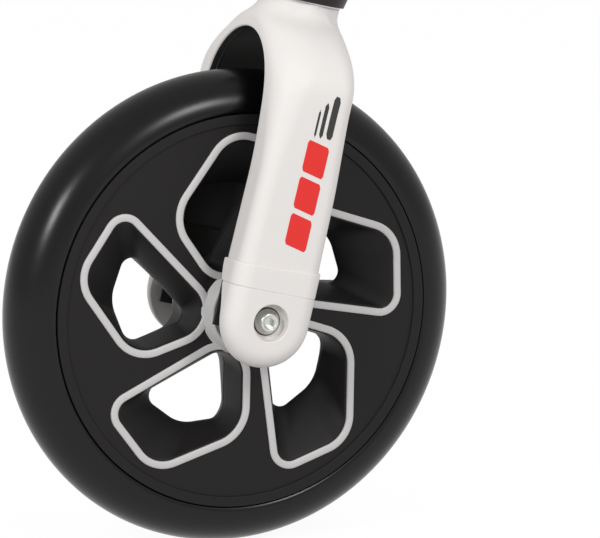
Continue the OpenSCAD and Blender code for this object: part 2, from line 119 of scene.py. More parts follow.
def linear_colour(srgb: Sequence[int]) -> tuple[float, float, float, float]:
    """Turn an 8 bit screen colour into the linear colour that shaders take.

    Args:
        srgb: Red, green and blue from 0 to 255.

    Returns:
        Linear red, green, blue and full alpha.
    """
    parts = []
    for value in srgb:
        share = value / 255.0
        parts.append(share / 12.92 if share <= 0.04045 else ((share + 0.055) / 1.055) ** 2.4)
    return (parts[0], parts[1], parts[2], 1.0)


@dataclass(frozen=True)
class Layout:
    """Where the axle and the steering axis are, taken from the frame's joints."""

    axle: Vector
    steer: Vector
    mount_s: float
    rake: float

    @classmethod
    def from_joints(cls, joints: Sequence[dict]) -> "Layout":
        """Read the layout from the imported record's joints.

        Args:
            joints: The joints of the frame.

        Returns:
            The layout.
        """
        named = {joint["name"]: joint for joint in joints}
        axle = Vector(named["wheel_spin"]["pos_m"])
        steer = Vector(named["steering"]["axis"]).normalized()
        forward = Vector((steer.z, 0.0, -steer.x))
        return cls(axle, steer, -axle.dot(steer) / MM, axle.dot(forward) / MM)

    def on_wheel(self, side: Side) -> Placer:
        """Placer for wheel pieces: x forward, z up and h outwards from the wheel's middle."""
        return lambda x, z, h: self.axle + Vector((x, side.value * h, z)) * MM

    def on_fork(self, x: float, y: float, s: float) -> Vector:
        """Point in metres: x forward of the steering axis, y to the left, s up it from the axle's height."""
        forward = Vector((self.steer.z, 0.0, -self.steer.x))
        return (forward * x + Vector((0.0, y, 0.0)) + self.steer * (s - self.mount_s)) * MM

    def on_leg_end(self, side: Side) -> Placer:
        """Placer for leg ends: x from the axle, s up the leg and y outwards."""
        return lambda x, s, y: self.on_fork(x + self.rake, side.value * y, s)


@dataclass(frozen=True)
class Finish:
    """Look of one material: its colour, gloss and surface grain."""

    name: str
    slot: str
    colour: tuple[int, int, int]
    roughness: float
    spread: float = 0.05
    metallic: float = 0.0
    specular: float = 0.5
    grain_mm: float = 0.6
    grain_height: float = 0.02
    mottle_mm: float = 14.0
    mottle: float = 0.04

    def material(self) -> bpy.types.Material:
        """Make the shader, once.

        Returns:
            The material.
        """
        known = bpy.data.materials.get(self.name)
        if known is not None:
            return known
        made = bpy.data.materials.new(self.name)
        made.use_nodes = True
        nodes, links = made.node_tree.nodes, made.node_tree.links
        shader = nodes["Principled BSDF"]
        colour = linear_colour(self.colour)
        made.diffuse_color = colour
        shader.inputs["Metallic"].default_value = self.metallic
        shader.inputs["Specular IOR Level"].default_value = self.specular
        grain = nodes.new("ShaderNodeGroup")
        grain.node_tree = surface_grain()
        values = {
            "Colour": colour, "Roughness": self.roughness, "Spread": self.spread, "Mottle": self.mottle,
            "Mottle scale": 1.0 / (self.mottle_mm * MM), "Grain scale": 1.0 / (self.grain_mm * MM),
            "Grain height": self.grain_height * MM,
        }
        for socket, value in values.items():
            grain.inputs[socket].default_value = value
        for socket, target in (("Colour", "Base Color"), ("Roughness", "Roughness"), ("Normal", "Normal")):
            links.new(grain.outputs[socket], shader.inputs[target])
        return made


def add_math(tree: bpy.types.NodeTree, operation: str,
             *values: bpy.types.NodeSocket | float) -> bpy.types.NodeSocket:
    """Add a sum to a node tree.

    Args:
        tree: Tree that gets the node.
        operation: Name of the sum.
        values: Its inputs, as sockets to link or as numbers.

    Returns:
        The socket with the result.
    """
    node = tree.nodes.new("ShaderNodeMath")
    node.operation = operation
    for socket, value in zip(node.inputs, values):
        if isinstance(value, float):
            socket.default_value = value
        else:
            tree.links.new(value, socket)
    return node.outputs[0]


def surface_grain() -> bpy.types.NodeTree:
    """Node group for moulded and plated surfaces: fine grain, patches of gloss and a slight change of shade.

    Returns:
        The shared node group.
    """
    known = bpy.data.node_groups.get("surface_grain")
    if known is not None:
        return known
    group = bpy.data.node_groups.new("surface_grain", "ShaderNodeTree")
    numbers = ("Roughness", "Spread", "Mottle", "Mottle scale", "Grain scale", "Grain height")
    sockets = [("Colour", "INPUT", "NodeSocketColor")]
    sockets += [(name, "INPUT", "NodeSocketFloat") for name in numbers]
    sockets += [("Colour", "OUTPUT", "NodeSocketColor"), ("Roughness", "OUTPUT", "NodeSocketFloat"),
                ("Normal", "OUTPUT", "NodeSocketVector")]
    for name, way, kind in sockets:
        group.interface.new_socket(name, in_out=way, socket_type=kind)
    nodes, links = group.nodes, group.links
    start, end = nodes.new("NodeGroupInput").outputs, nodes.new("NodeGroupOutput").inputs
    place = nodes.new("ShaderNodeTexCoord")
    noises = {}
    for name, detail in (("Mottle scale", 3.0), ("Grain scale", 2.0)):
        noise = nodes.new("ShaderNodeTexNoise")
        noise.inputs["Detail"].default_value = detail
        links.new(place.outputs["Object"], noise.inputs["Vector"])
        links.new(start[name], noise.inputs["Scale"])
        noises[name] = noise.outputs["Fac"]

    centred = add_math(group, "SUBTRACT", noises["Mottle scale"], 0.5)
    shade = add_math(group, "MULTIPLY_ADD", centred, start["Mottle"], 1.0)
    tint = nodes.new("ShaderNodeVectorMath")
    tint.operation = "SCALE"
    links.new(start["Colour"], tint.inputs[0])
    links.new(shade, tint.inputs["Scale"])
    links.new(tint.outputs[0], end["Colour"])
    links.new(add_math(group, "MULTIPLY_ADD", centred, start["Spread"], start["Roughness"]), end["Roughness"])
    bump = nodes.new("ShaderNodeBump")
    bump.inputs["Strength"].default_value = 1.0
    links.new(noises["Grain scale"], bump.inputs["Height"])
    links.new(start["Grain height"], bump.inputs["Distance"])
    links.new(bump.outputs["Normal"], end["Normal"])
    return group


TYRE_BLACK = Finish("rubber_tyre", "tyre_black", (9, 7, 8), 0.26, 0.06, specular=0.3,
                    grain_mm=0.9, grain_height=0.004)
WHEEL_BLACK = Finish("moulded_disc", "wheel_black", (31, 29, 30), 0.5, 0.08, specular=0.18,
                     grain_mm=0.7, grain_height=0.01)
TRIM_GREY = Finish("moulded_trim", "trim_grey", (200, 198, 197), 0.42, 0.06, grain_mm=0.5, grain_height=0.006)
FORK_WHITE = Finish("gloss_white", "fork_white", (228, 224, 221), 0.42, 0.06, specular=0.15,
                    grain_mm=6.0, grain_height=0.01, mottle=0.015)
LINER_BLACK = Finish("moulded_liner", "liner_black", (39, 37, 36), 0.5, 0.1, specular=0.3,
                     grain_mm=0.7, grain_height=0.01)
CUP_BLACK = Finish("painted_cup", "cup_black", (42, 34, 33), 0.42, 0.08, specular=0.2,
                   grain_mm=0.8, grain_height=0.01)
STEEL = Finish("drawn_steel", "steel_tube", (172, 174, 178), 0.34, 0.12, metallic=1.0,
               grain_mm=0.5, grain_height=0.004)
BEARING = Finish("ground_steel", "bearing_steel", (186, 187, 190), 0.22, 0.08, metallic=1.0,
                 grain_mm=0.4, grain_height=0.002)
STRAP = Finish("painted_strap", "strap_black", (24, 23, 23), 0.42, 0.1, specular=0.3, grain_height=0.01)
ZINC = Finish("zinc_plate", "zinc", (208, 210, 205), 0.3, 0.1, metallic=1.0,
              grain_mm=0.5, grain_height=0.003, mottle_mm=2.0, mottle=0.06)
SHIELD = Finish("shield_rubber", "shield_black", (24, 24, 24), 0.55, 0.1)
DECAL_RED = Finish("decal_red", "fork_white", (226, 34, 26), 0.3, 0.05, grain_height=0.002)
DECAL_DARK = Finish("decal_dark", "fork_white", (44, 42, 43), 0.35, 0.05, grain_height=0.002)

NODE_FINISHES: dict[str, Finish] = {
    "head_cup": CUP_BLACK, "head_bearing_outer": BEARING, "head_bearing_balls": BEARING,
    "crown_race": BEARING, "head_bearing_inner": BEARING, "steerer": STEEL, "fork_strap": STRAP,
    "axle_sleeve": STEEL, "bolt_washers": ZINC, "axle_spacers": STEEL, "axle_mid_spacer": STEEL,
    "hub_bearing_inners": BEARING, "hub_bearing_outers": BEARING, "hub_bearing_balls": BEARING,
    "hub_bearing_shields": SHIELD, "half_screws": ZINC,
}
NODE_BEVELS: dict[str, float] = {
    "head_cup": 0.6, "bolt_washers": 0.2, "axle_spacers": 0.3, "steerer": 0.4, "crown_race": 0.2,
    "half_screws": 0.3,
}


@dataclass
class Draft:
    """Mesh under construction: rows of points that are extruded and profiles that are spun."""

    place: Placer
    bm: bmesh.types.BMesh = field(default_factory=bmesh.new)
    merge: float = 1e-7
    level_near: float = 1e-6
    square_share: float = 1e-4
    flat_weight: int = 80

    def edges(self, verts: Sequence[BMVert], closed: bool) -> list[BMEdge]:
        """Edges along a line of vertices, made where they are missing.

        Args:
            verts: The vertices, in order.
            closed: Whether the line is a loop.

        Returns:
            The edges, in order.
        """
        after = [*verts[1:], verts[0]] if closed else verts[1:]
        pairs = list(zip(verts, after))
        return [self.bm.edges.get(pair) or self.bm.edges.new(pair) for pair in pairs]

    def skin(self, rows: Sequence[Sequence[Spot]], closed: bool = True, capped: bool = False) -> None:
        """Extrude a first row of points to each row that follows.

        Args:
            rows: Rows with as many points.
            closed: Whether the rows are loops.
            capped: Whether a face closes the first and the last row.
        """
        verts = [self.bm.verts.new(self.place(*spot)) for spot in rows[0]]
        first = last = self.edges(verts, closed)
        for row in rows[1:]:
            made = set(bmesh.ops.extrude_edge_only(self.bm, edges=last)["geom"])
            links = [[edge.other_vert(vert) for edge in vert.link_edges] for vert in verts]
            verts = [next(vert for vert in near if vert in made) for near in links]
            last = self.edges(verts, closed)
            for vert, spot in zip(verts, row):
                vert.co = self.place(*spot)
        if capped:
            bmesh.ops.edgeloop_fill(self.bm, edges=first + last)

    def lathe(self, profile: Sequence[Point], count: int, centre: Point = (0.0, 0.0),
              closed: bool = False) -> None:
        """Spin a profile about an axis along the placer's third direction.

        Args:
            profile: Radius and height of each point.
            count: Number of steps round.
            centre: Where the axis is.
            closed: Whether the profile is a loop.
        """
        verts = [self.bm.verts.new(self.place(centre[0] + r, centre[1], h)) for r, h in profile]
        foot, tip = self.place(*centre, 0.0), self.place(*centre, 1.0)
        bmesh.ops.spin(self.bm, geom=verts + self.edges(verts, closed), cent=foot,
                       axis=(tip - foot).normalized(), angle=2.0 * math.pi, steps=count, use_merge=True)

    def fill(self, h: float) -> None:
        """Fill the flat region between the open edges at one height.

        Args:
            h: Height, in the placer's third direction.
        """
        foot, tip = self.place(0.0, 0.0, h), self.place(0.0, 0.0, h + 1.0)
        normal = (tip - foot).normalized()
        level = {vert for vert in self.bm.verts if abs((vert.co - foot).dot(normal)) < self.level_near}
        edges = [edge for edge in self.bm.edges if edge.is_boundary and level.issuperset(edge.verts)]
        bmesh.ops.triangle_fill(self.bm, use_beauty=True, edges=edges, normal=normal)

    def build(self, name: str, facing: Vector, finish: Finish, body: str, *nodes: str,
              sharp_deg: float = 40.0, weighted: bool = False) -> None:
        """Turn the draft into a piece with its look, its body and the nodes that it stands for.

        Args:
            name: Name of the piece.
            facing: Direction in which its farthest face looks.
            finish: Its look.
            body: CAD body that it rides on.
            nodes: CAD nodes that it replaces.
            sharp_deg: Angle above which an edge is sharp.
            weighted: Whether large flat faces keep flat normals next to their rounded edges.
        """
        def lead(face: BMFace) -> float:
            """Tell how far that way a face lies, and a little how squarely it looks there."""
            return face.calc_center_median().dot(facing) + self.square_share * face.normal.dot(facing) ** 2

        bmesh.ops.remove_doubles(self.bm, verts=self.bm.verts, dist=self.merge)
        bmesh.ops.recalc_face_normals(self.bm, faces=self.bm.faces)
        if max(self.bm.faces, key=lead).normal.dot(facing) < 0.0:
            bmesh.ops.reverse_faces(self.bm, faces=self.bm.faces)
        mesh = bpy.data.meshes.new(name)
        self.bm.to_mesh(mesh)
        self.bm.free()
        mesh.shade_smooth()
        mesh.set_sharp_from_angle(angle=math.radians(sharp_deg))
        mesh.materials.append(finish.material())
        piece = bpy.data.objects.new(name, mesh)
        bpy.context.scene.collection.objects.link(piece)
        if weighted:
            modifier = piece.modifiers.new("weighted", "WEIGHTED_NORMAL")
            modifier.keep_sharp = True
            modifier.weight = self.flat_weight
        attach(piece, body)
        if nodes:
            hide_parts(*nodes)
        LOG.info("%s rides on %s with %d faces", name, body, len(mesh.polygons))


@dataclass
class Petal:
    """Outline of a swirl opening: four rounded corners as distance, turn and rounding."""

    face: tuple[Spot, ...] = (
        (8.3, 102.5, 16.5), (65.2, 124.2, 20.0), (95.6, 157.8, 18.0), (89.7, 185.4, 9.5))
    throat: tuple[Spot, ...] = (
        (22.0, 130.1, 5.4), (59.6, 128.5, 8.0), (66.6, 150.4, 20.0), (66.2, 175.0, 6.0))
    flare: float = 1.25
    corner_steps: int = 14

    def corners(self, table: Sequence[Spot], turn: float) -> list[Vector]:
        """Corner points of a table that is turned by some degrees."""
        turns = [math.radians(row[1] + turn) for row in table]
        return [Vector((row[0] * math.cos(a), row[0] * math.sin(a))) for row, a in zip(table, turns)]

    def bisect(self, corners: Sequence[Vector], i: int) -> tuple[Vector, float]:
        """Direction into a corner and half of its angle.

        Args:
            corners: Corner points in turning order.
            i: Which corner.

        Returns:
            The direction and the half angle.
        """
        before = (corners[i - 1] - corners[i]).normalized()
        after = (corners[(i + 1) % len(corners)] - corners[i]).normalized()
        return (before + after).normalized(), math.acos(before.dot(after)) / 2.0

    def rounded(self, corners: Sequence[Vector], radii: Sequence[float], grow: float) -> list[Point]:
        """Outline with rounded corners, grown about the same corner centres.

        Args:
            corners: Corner points in turning order.
            radii: Rounding of each corner.
            grow: Distance that the outline moves outwards.

        Returns:
            The points of the outline.
        """
        points = []
        for i, corner in enumerate(corners):
            inward, half = self.bisect(corners, i)
            centre = corner + inward * (radii[i] / math.sin(half))
            middle = math.atan2(-inward.y, -inward.x)
            sweep = math.pi / 2.0 - half
            reach = radii[i] + grow
            for k in range(self.corner_steps + 1):
                angle = middle + sweep * (2.0 * k / self.corner_steps - 1.0)
                points.append((centre.x + reach * math.cos(angle), centre.y + reach * math.sin(angle)))
        return points

    def bead_line(self, grow: float, turn: float) -> list[Point]:
        """Outline of the bead's middle at the face, grown by some distance and turned by some degrees."""
        return self.rounded(self.corners(self.face, turn), [row[2] for row in self.face], grow)

    def wall_line(self, share: float, inset: float, grow: float, face_turn: float,
                  turn: float) -> list[Point]:
        """Outline of the funnel between the throat and the face.

        Args:
            share: Height, from 0 at the throat to 1 at the face.
            inset: Distance of the mouth inside the bead's middle.
            grow: Distance outwards.
            face_turn: Turn of the face's opening against the throat.
            turn: Turn of the whole petal.

        Returns:
            The points of the outline.
        """
        opened = share ** self.flare
        low, high = self.corners(self.throat, turn), self.corners(self.face, turn + face_turn)
        corners = []
        for i, corner in enumerate(high):
            inward, half = self.bisect(high, i)
            corners.append(low[i].lerp(corner + inward * (inset / math.sin(half)), opened))
        radii = [mix(t[2], f[2] - inset, opened) for t, f in zip(self.throat, self.face)]
        return self.rounded(corners, radii, grow)


@dataclass
class Wheel:
    """Tyre, the two moulded halves and their grey trim."""

    layout: Layout
    petal: Petal = field(default_factory=Petal)
    petals: int = 5
    ring_r: float = 104.4
    tyre_section_r: float = 20.6
    tyre_lip: float = 0.9
    foot_r: float = 94.8
    foot_half: float = 15.0
    foot_gap: float = 0.3
    face_h: float = 19.2
    flange_r: float = 103.8
    lip_w: float = 5.6
    lip_h: float = 1.2
    bearing_r: float = 14.0
    bearing_floor: float = 8.0
    bead_w: float = 4.0
    bead_t: float = 1.2
    bead_sink: float = 0.4
    ledge: float = 0.6
    collar_r: float = 22.0
    collar_h: float = 7.4
    collar_taper: float = 1.9
    collar_lip: float = 1.5
    right_turn: float = -6.0
    screw_r: float = 79.0
    screw_turn: float = 196.0
    screw_hole_r: float = 3.7
    screw_hole_d: float = 7.6
    seam: float = 0.12
    around: int = 160
    collar_around: int = 120
    bore_around: int = 72
    hole_around: int = 24

    def turns(self) -> list[float]:
        """Turn of each petal, in degrees."""
        return [360.0 * k / self.petals for k in range(self.petals)]

    def face_turn(self, side: Side) -> float:
        """Turn of a face's openings against the throats, in degrees."""
        return 0.0 if side is Side.LEFT else self.right_turn

    def build(self) -> None:
        """Make every visible wheel piece."""
        self.build_tyre()
        for side in Side:
            self.build_half(side)
            self.build_trim(side)

    def build_tyre(self) -> None:
        """Round tyre with a soft lip beside the rim flange."""
        steps = 40
        start = 86.0
        lip, half = self.tyre_lip, self.tyre_section_r
        wall = [(self.foot_r, self.foot_half), (self.ring_r - lip, self.foot_half),
                (self.ring_r, self.foot_half + lip), (self.ring_r, half - 2.2 * lip),
                (self.ring_r + 0.15 * lip, half - 0.9 * lip)]
        profile = [(self.foot_r, 0.0)] + wall
        for k in range(steps + 1):
            angle = math.radians(mix(start, -start, k / steps))
            profile.append((self.ring_r + half * math.cos(angle), half * math.sin(angle)))
        profile += [(r, -h) for r, h in reversed(wall)]
        draft = Draft(self.layout.on_wheel(Side.LEFT))
        draft.lathe(profile, self.around, closed=True)
        draft.build("tyre_skin", UP, TYRE_BLACK, "wheel", "tyre")

    def build_half(self, side: Side) -> None:
        """One moulded half: flat face, rim flange and five funnels.

        Args:
            side: Side of the half.
        """
        draft = Draft(self.layout.on_wheel(side))
        edge = 0.35
        top, lip, foot = self.face_h, self.face_h + self.lip_h, self.foot_half + self.foot_gap
        flange, flat = self.flange_r, self.flange_r - self.lip_w
        rim = [(flat, top), (flat + 0.1, top + 0.1), (flat + 0.3, lip - edge), (flat + 0.5, lip - 0.3 * edge),
               (flat + 0.3 + 1.6 * edge, lip), (flange - edge, lip), (flange - 0.25 * edge, lip - 0.3 * edge),
               (flange, lip - edge), (flange, foot), (self.foot_r, foot), (self.foot_r, self.seam)]
        bore = [(self.bearing_r + edge, top), (self.bearing_r, top - edge)]
        bore.append((self.bearing_r, self.bearing_floor))
        draft.lathe(rim, self.around)
        draft.lathe(bore, self.bore_around)
        for turn in self.turns():
            self.add_funnel(draft, turn, self.face_turn(side))
            if side is Side.RIGHT:
                self.add_screw_hole(draft, turn)
        draft.fill(top)
        draft.build(f"wheel_skin_{side.word}", side.out, WHEEL_BLACK, "wheel", f"wheel_half_{side.word}",
                    weighted=True)

    def add_funnel(self, draft: Draft, turn: float, face_turn: float) -> None:
        """Wall of one opening from the face to the seam, with a rounded mouth and throat.

        Args:
            draft: Mesh that gets the wall.
            turn: Turn of the petal.
            face_turn: Turn of the face's opening against the throat.
        """
        inset = self.bead_w / 2.0 + self.ledge
        mouth = 0.8
        lip = 1.6
        lip_grow = 0.35
        steps = 16
        levels = [(mouth * left, self.face_h - mouth * fall) for fall, left in quarter(3)]
        levels += [(0.0, mix(self.face_h - mouth, lip, k / steps)) for k in range(1, steps)]
        levels += [(lip_grow * lip * fall, max(self.seam, lip * left)) for fall, left in quarter(4)]
        rings = []
        for grow, h in levels:
            line = self.petal.wall_line(h / self.face_h, inset, grow, face_turn, turn)
            rings.append([(x, z, h) for x, z in line])
        draft.skin(rings)

    def add_screw_hole(self, draft: Draft, turn: float) -> None:
        """Sunk hole for one of the screws that join the halves.

        Args:
            draft: Mesh that gets the hole.
            turn: Turn of the hole about the axle, from the first.
        """
        angle = math.radians(self.screw_turn + turn)
        centre = (self.screw_r * math.cos(angle), self.screw_r * math.sin(angle))
        edge = 0.4
        top, r = self.face_h, self.screw_hole_r
        profile = [(r + edge, top), (r, top - edge), (r, top - self.screw_hole_d)]
        draft.lathe(profile, self.hole_around, centre)

    def build_trim(self, side: Side) -> None:
        """Grey beads round the openings and the hub collar that they run into.

        Args:
            side: Side of the trim.
        """
        draft = Draft(self.layout.on_wheel(side))
        across = 12
        fullness = 0.3
        low, face = self.face_h - self.bead_sink, self.face_h
        for turn in self.turns():
            rings = []
            for k in range(across + 1):
                angle = math.pi * k / across
                h = low + (self.bead_t + self.bead_sink) * math.sin(angle) ** fullness
                grow = self.bead_w / 2.0 * math.cos(angle)
                rings.append([(x, z, h) for x, z in self.petal.bead_line(grow, turn + self.face_turn(side))])
            draft.skin(rings)
        soft = 0.6
        lip_r, lip_h = self.collar_r - self.collar_taper, face + self.collar_h
        mouth_r = lip_r - self.collar_lip
        foot_r = self.bearing_r + 0.6
        profile = [(self.collar_r + 0.9, low), (self.collar_r + 0.3, face + 0.5),
                   (self.collar_r - 0.2, face + 1.6), (lip_r + 0.12, lip_h - soft),
                   (lip_r - 0.3 * soft, lip_h - 0.25 * soft), (lip_r - soft, lip_h),
                   (mouth_r + 0.4 * soft, lip_h), (mouth_r, lip_h - 0.5 * soft), (mouth_r - 0.8, face + 1.6),
                   (mouth_r - 1.8, face + 0.5), (foot_r, face + 0.3), (foot_r, face - 0.2)]
        draft.lathe(profile, self.collar_around)
        draft.build(f"trim_skin_{side.word}", side.out, TRIM_GREY, "wheel", f"trim_{side.word}",
                    sharp_deg=50.0)


@dataclass
class ForkShell:
    """White crown and legs as one surface that follows the arch from one leg's foot to the other's.

    Every s is a height up the steering axis, above the axle.
    """

    layout: Layout
    slot_r: float = 37.0
    arch_s: float = 108.5
    low_s: float = 29.5
    leg_out: float = 56.5
    shoulder_out: float = 57.5
    shoulder_s: float = 119.5
    neck_base: float = 156.0
    neck_top: float = 164.0
    leg_half: float = 23.2
    neck_r: float = 21.0
    leg_round: float = 8.0
    shoulder_fall: float = 0.85
    corner_fall: float = 1.6
    edge_round: float = 1.0
    soften: float = 1.6
    wall: float = 4.6
    pocket_d: float = 4.4
    rake: float = 2.0
    tuck: float = 3.0
    foot_shrink: float = 0.35
    swell: float = 4.6
    swell_rise: Point = (72.0, 75.0)
    swell_fade: Point = (150.0, 13.0)
    soft_front: float = 2.6
    draw_in: float = 2.0
    draw_rise: Point = (60.0, 60.0)
    draw_fade: Point = (145.0, 15.0)

    def climb(self, s: float, start: float) -> float:
        """Share of the way from the start's height to the neck's foot, from 0 to 1."""
        return clamp((s - start) / (self.neck_base - start))

    def middle(self, s: float) -> float:
        """Middle of the shell, fore and aft: over the axle at the legs, on the steering axis at the neck."""
        return self.rake * (1.0 - smooth_step(self.climb(s, self.arch_s)))

    def raw_width(self, s: float) -> float:
        """Half width before the neck's foot is softened.

        Args:
            s: Height.

        Returns:
            The half width.
        """
        if s < self.shoulder_s:
            grown = smooth_step((s - self.low_s) / (self.shoulder_s - self.low_s))
            return mix(self.leg_out, self.shoulder_out, grown)
        left = 1.0 - self.climb(s, self.shoulder_s) ** 2
        return mix(self.neck_r, self.shoulder_out, left ** self.shoulder_fall)

    def half_width(self, s: float) -> float:
        """Half width, with a hollow fillet where the shoulders meet the neck."""
        return sum(self.raw_width(s + self.soften * k) for k in (-2, -1, 0, 1, 2)) / 5.0

    def hump(self, s: float, rise: Point, fade: Point) -> float:
        """Share of a swelling, with the start and length of its rise and of its fade."""
        return smooth_step((s - rise[0]) / rise[1]) * (1.0 - smooth_step((s - fade[0]) / fade[1]))

    def reach(self, y: float, s: float, extra: float) -> float:
        """Distance of the front or rear surface from the shell's middle.

        Args:
            y: Sideways place.
            s: Height.
            extra: Swelling of that surface, which also rounds its corner more.

        Returns:
            The distance.
        """
        depth = mix(self.leg_half, self.neck_r, self.climb(s, self.low_s)) + extra
        corner = mix(self.leg_round, self.neck_r, self.climb(s, self.shoulder_s) ** self.corner_fall)
        width = self.half_width(s)
        radius = min(corner + self.soft_front * max(0.0, extra), width, depth)
        past = max(0.0, abs(y) - (width - radius))
        return depth - radius + math.sqrt(max(0.0, radius * radius - past * past))

    def ends(self, y: float, s: float) -> Point:
        """Rear and front surfaces of the shell.

        Args:
            y: Sideways place.
            s: Height.

        Returns:
            Their distances forward of the steering axis.
        """
        middle = self.middle(s)
        hollow = self.draw_in * self.hump(s, self.draw_rise, self.draw_fade)
        bulge = self.swell * self.hump(s, self.swell_rise, self.swell_fade)
        return middle - self.reach(y, s, -hollow), middle + self.reach(y, s, bulge)

    def outer_point(self, turn: float) -> Point:
        """Where a ray from the arch's centre leaves the shell.

        Args:
            turn: Angle of the ray from the left, in degrees.

        Returns:
            Sideways place and height of the point.
        """
        halvings = 48
        tiny = 1e-3
        c, n = math.cos(math.radians(turn)), math.sin(math.radians(turn))
        low = self.slot_r
        high = min((self.neck_top - self.arch_s) / max(n, tiny), 2.0 * self.shoulder_out)
        for _ in range(halvings):
            reach = (low + high) / 2.0
            if abs(reach * c) < self.half_width(self.arch_s + reach * n):
                low = reach
            else:
                high = reach
        return low * c, self.arch_s + low * n

    def stations(self) -> list[tuple[Point, Point]]:
        """Inner and outer points along the arch, from the left foot to the right foot.

        Returns:
            Pairs of sideways place and height.
        """
        legs, sides, across = 14, 30, 10
        foot = self.low_s - self.tuck
        heights = [foot, foot + 0.5, self.low_s]
        heights += [mix(self.low_s, self.arch_s, k / legs) for k in range(1, legs)]
        left = [((self.slot_r, s), (self.half_width(s), s)) for s in heights]
        neck_turn = math.degrees(math.atan2(self.neck_top - self.arch_s, self.neck_r))
        turns = [neck_turn * k / sides for k in range(sides + 1)]
        over = [mix(neck_turn, 180.0 - neck_turn, k / across) for k in range(1, across)]
        crown = []
        for turn in turns + over + [180.0 - t for t in reversed(turns)]:
            c, n = math.cos(math.radians(turn)), math.sin(math.radians(turn))
            crown.append(((self.slot_r * c, self.arch_s + self.slot_r * n), self.outer_point(turn)))
        right = [((-i[0], i[1]), (-o[0], o[1])) for i, o in reversed(left)]
        return left + crown + right

    def section(self, inner: Point, outer: Point, shrink: float) -> list[Spot]:
        """Closed section of the shell between an inner and an outer point.

        Args:
            inner: Point on the arch.
            outer: Point on the outline.
            shrink: Distance by which the section is pulled in, at the feet.

        Returns:
            Points of the section as x, y and s.
        """
        steps = 22
        length = math.dist(inner, outer)
        ways = ((outer[0] - inner[0]) / length, (outer[1] - inner[1]) / length)
        half = [(self.edge_round * left, self.edge_round * fall) for fall, left in quarter(4)[:0:-1]]
        half += [(mix(self.edge_round, length, 1.0 - (1.0 - k / steps) ** 2), 0.0) for k in range(steps + 1)]
        bottom = (inner[0] + ways[0] * self.pocket_d, inner[1] + ways[1] * self.pocket_d)
        rear_x, front_x = self.ends(*inner)
        front = [(front_x - self.wall, *bottom), (front_x - self.wall, *inner)]
        back = [(rear_x + self.wall, *bottom), (rear_x + self.wall, *inner)]
        for along, sunk in half:
            y, s = inner[0] + ways[0] * along, inner[1] + ways[1] * along
            rear_x, front_x = self.ends(y, s)
            y -= math.copysign(shrink, y) * min(1.0, along / length)
            front.append((front_x - sunk - shrink, y, s))
            back.append((rear_x + sunk + shrink, y, s))
        return front + back[::-1]

    def build(self) -> None:
        """Make the shell."""
        draft = Draft(self.layout.on_fork)
        pairs = self.stations()
        feet = (0, len(pairs) - 1)
        rows = [self.section(*pair, self.foot_shrink if i in feet else 0.0) for i, pair in enumerate(pairs)]
        draft.skin(rows, capped=True)
        draft.build("fork_skin", Side.LEFT.out, FORK_WHITE, "fork", "fork_shell", sharp_deg=50.0)
        self.build_decals()

    def build_decals(self) -> None:
        """Plain slanted blocks and bars where the real leg carries its print."""
        blocks, block_low, block_h, block_step = 3, 39.0, 16.6, 19.4
        block_span = (-10.2, 2.6)
        bar_low, bar_high, bar_drop = 98.5, 121.0, 4.0
        bar_spans = ((-10.2, -6.4), (-4.6, -2.4), (-0.8, 0.4))
        for side in Side:
            for k in range(blocks):
                low = block_low + block_step * k
                self.decal(f"decal_block_{side.word}_{k}", side, block_span, (low, low + block_h), DECAL_RED)
            for k, span in enumerate(bar_spans):
                heights = (bar_low, bar_high - bar_drop * k)
                self.decal(f"decal_bar_{side.word}_{k}", side, span, heights, DECAL_DARK)

    def decal(self, name: str, side: Side, span: Point, heights: Point, finish: Finish) -> None:
        """One slanted block of print on a leg's outer face.

        Args:
            name: Name of the piece.
            side: Side of the leg.
            span: Rear and front edges.
            heights: Lower and upper edges.
            finish: Colour of the print.
        """
        slant = 0.22
        round_r = 0.9
        film = 0.05
        tall, wide = 10, 8
        lines = []
        for k in range(tall + 1):
            s = mix(*heights, k / tall)
            short = max(0.0, round_r - min(s - heights[0], heights[1] - s))
            pull = round_r - math.sqrt(max(0.0, round_r ** 2 - short ** 2))
            line = []
            for j in range(wide + 1):
                x = mix(span[0] + pull, span[1] - pull, j / wide)
                rise = s + slant * (x - span[0])
                line.append((self.middle(rise) + x, side.value * (self.half_width(rise) + film), rise))
            lines.append(line)
        draft = Draft(self.layout.on_fork)
        draft.skin(lines, closed=False)
        draft.build(name, side.out, finish, "fork")


